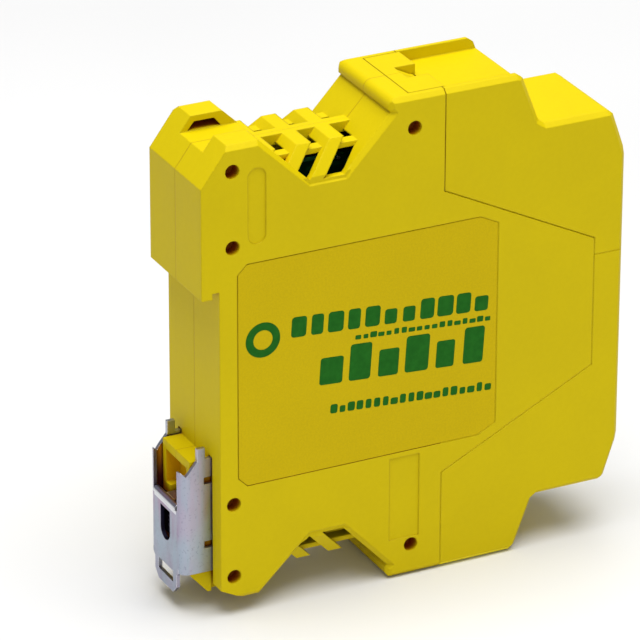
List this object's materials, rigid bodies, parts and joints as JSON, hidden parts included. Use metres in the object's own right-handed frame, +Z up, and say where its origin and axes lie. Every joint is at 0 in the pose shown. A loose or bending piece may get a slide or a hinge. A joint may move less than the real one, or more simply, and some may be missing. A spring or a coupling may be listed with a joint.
{
  "type": "rail-mount fibre media converter",
  "caption": "Slim yellow rail-mount fibre media converter with stepped housing, valley vents and a sprung steel foot latch.",
  "frame": {"origin": "mid-width, level with the middle of the rail, on the plane where the rail's flanges seat", "axes": "+Y out of the back toward the rail, +Z up, X across the module's width"},
  "size_m": [0.0226, 0.0943, 0.1006],
  "materials": {
    "housing": "moulded polyamide, bright yellow, fine satin grain",
    "label": "printed yellow film with green bars, fine grain",
    "latch_steel": "zinc-plated folded sheet, faint iridescence",
    "spring_steel": "dark spring wire",
    "board": "green solder mask",
    "jack_shell": "tin-plated sheet",
    "contact_gold": "gold-plated wire",
    "transceiver": "black moulded body",
    "ceramic": "white zirconia",
    "terminal_green": "green polyamide",
    "screw_steel": "plated steel",
    "chip_black": "black epoxy",
    "ferrite": "ferrite, dark grey",
    "can_metal": "drawn can",
    "ceramic_tan": "ceramic chip",
    "lamp": "milky yellow-green lamp windows",
    "clear_pipe": "clear polycarbonate"
  },
  "bodies": {
    "housing": {"shell_left": "housing", "shell_right": "housing", "front_cover_upper": "housing", "front_cover_lower": "housing", "side_label": "label", "latch_spring": "spring_steel", "circuit_board": "board", "network_jack": "jack_shell", "jack_contacts": "contact_gold", "fibre_transceiver": "transceiver", "optic_sleeves": "ceramic", "power_header": "terminal_green", "power_plug": "terminal_green", "lan_magnetics": "chip_black", "switch_chip": "chip_black", "flash_chip": "chip_black", "power_inductor": "ferrite", "regulator_chip": "chip_black", "crystal": "can_metal", "filter_capacitor_1": "can_metal", "filter_capacitor_2": "can_metal", "ceramic_capacitors": "ceramic_tan", "led_board": "board", "light_pipes": "clear_pipe", "jack_lamps": "lamp"},
    "latch": {"foot_latch": "latch_steel"},
    "screw_1": {"terminal_screw_1": "screw_steel"},
    "clamp_1": {"clamp_block_1": "screw_steel"},
    "screw_2": {"terminal_screw_2": "screw_steel"},
    "clamp_2": {"clamp_block_2": "screw_steel"},
    "screw_3": {"terminal_screw_3": "screw_steel"},
    "clamp_3": {"clamp_block_3": "screw_steel"}
  },
  "joints": [
    {"name": "latch_slide", "type": "slide", "parent": "housing", "child": "latch", "axis": [0, 0, -1], "range_m": [0, 0.004], "stiffness_N_per_m": 1500, "springref_m": -0.002, "deforming": ["latch_spring"]},
    {"name": "screw_turn_1", "type": "hinge", "parent": "housing", "child": "screw_1", "pos_m": [-0.002, -0.083, -0.0281], "axis": [0, 1, 0], "range_deg": [0, 1440]},
    {"name": "clamp_slide_1", "type": "slide", "parent": "housing", "child": "clamp_1", "axis": [1, 0, 0], "range_m": [0, 0.002]},
    {"name": "screw_turn_2", "type": "hinge", "parent": "housing", "child": "screw_2", "pos_m": [-0.002, -0.083, -0.0246], "axis": [0, 1, 0], "range_deg": [0, 1440]},
    {"name": "clamp_slide_2", "type": "slide", "parent": "housing", "child": "clamp_2", "axis": [1, 0, 0], "range_m": [0, 0.002]},
    {"name": "screw_turn_3", "type": "hinge", "parent": "housing", "child": "screw_3", "pos_m": [-0.002, -0.083, -0.0211], "axis": [0, 1, 0], "range_deg": [0, 1440]},
    {"name": "clamp_slide_3", "type": "slide", "parent": "housing", "child": "clamp_3", "axis": [1, 0, 0], "range_m": [0, 0.002]}
  ],
  "couplings": [
    {"joint": "screw_turn_1", "follows": "clamp_slide_1", "rad_per_m": 12565},
    {"joint": "screw_turn_2", "follows": "clamp_slide_2", "rad_per_m": 12565},
    {"joint": "screw_turn_3", "follows": "clamp_slide_3", "rad_per_m": 12565}
  ]
}
